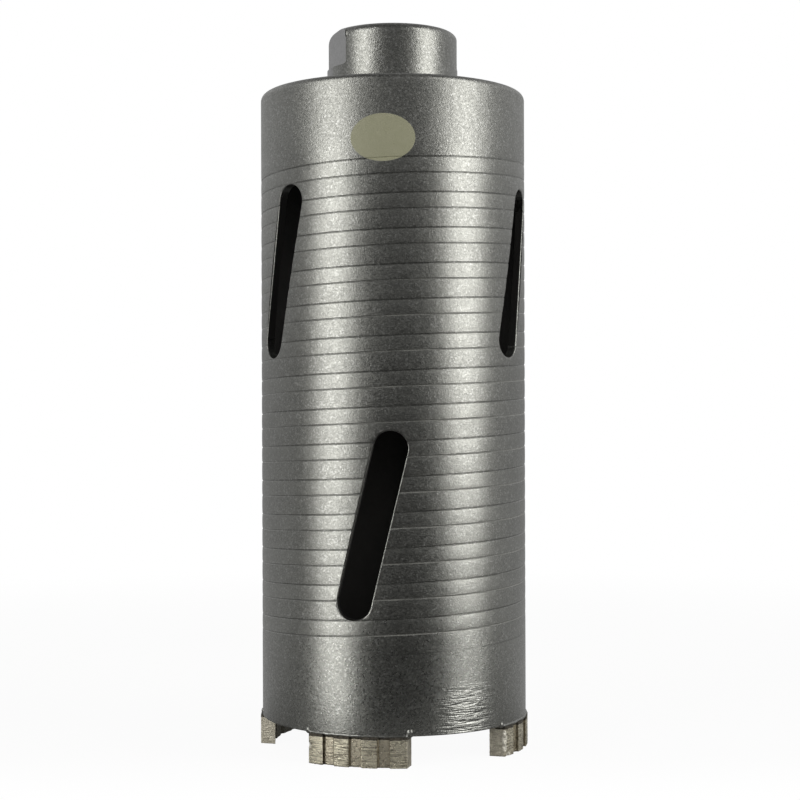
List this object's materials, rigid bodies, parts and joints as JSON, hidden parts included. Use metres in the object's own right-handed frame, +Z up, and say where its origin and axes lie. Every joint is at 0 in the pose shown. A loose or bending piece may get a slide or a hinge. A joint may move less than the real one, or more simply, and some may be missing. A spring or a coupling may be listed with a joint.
{
  "type": "diamond core bit",
  "caption": "Dry diamond core bit: slotted steel barrel with a fine spiral groove, ribbed cutting segments round its mouth and a turned hub with spanner flats and a threaded bore.",
  "frame": {"origin": "centre of the circle on the segments' cutting faces, where the bit stands", "axes": "+Z up the axis of rotation to the hub; -Y is the side with a lower slot near its middle"},
  "size_m": [0.065, 0.065, 0.1721],
  "materials": {
    "barrel_paint": "silver-grey metallic paint, fine flake",
    "hub_paint": "silver-grey metallic paint over turned steel",
    "diamond_matrix": "sintered metal with diamond grit, ground on the ribs"
  },
  "bodies": {
    "root": {"barrel": "barrel_paint", "hub": "hub_paint", "segment_1": "diamond_matrix", "segment_2": "diamond_matrix", "segment_3": "diamond_matrix", "segment_4": "diamond_matrix"}
  },
  "joints": []
}
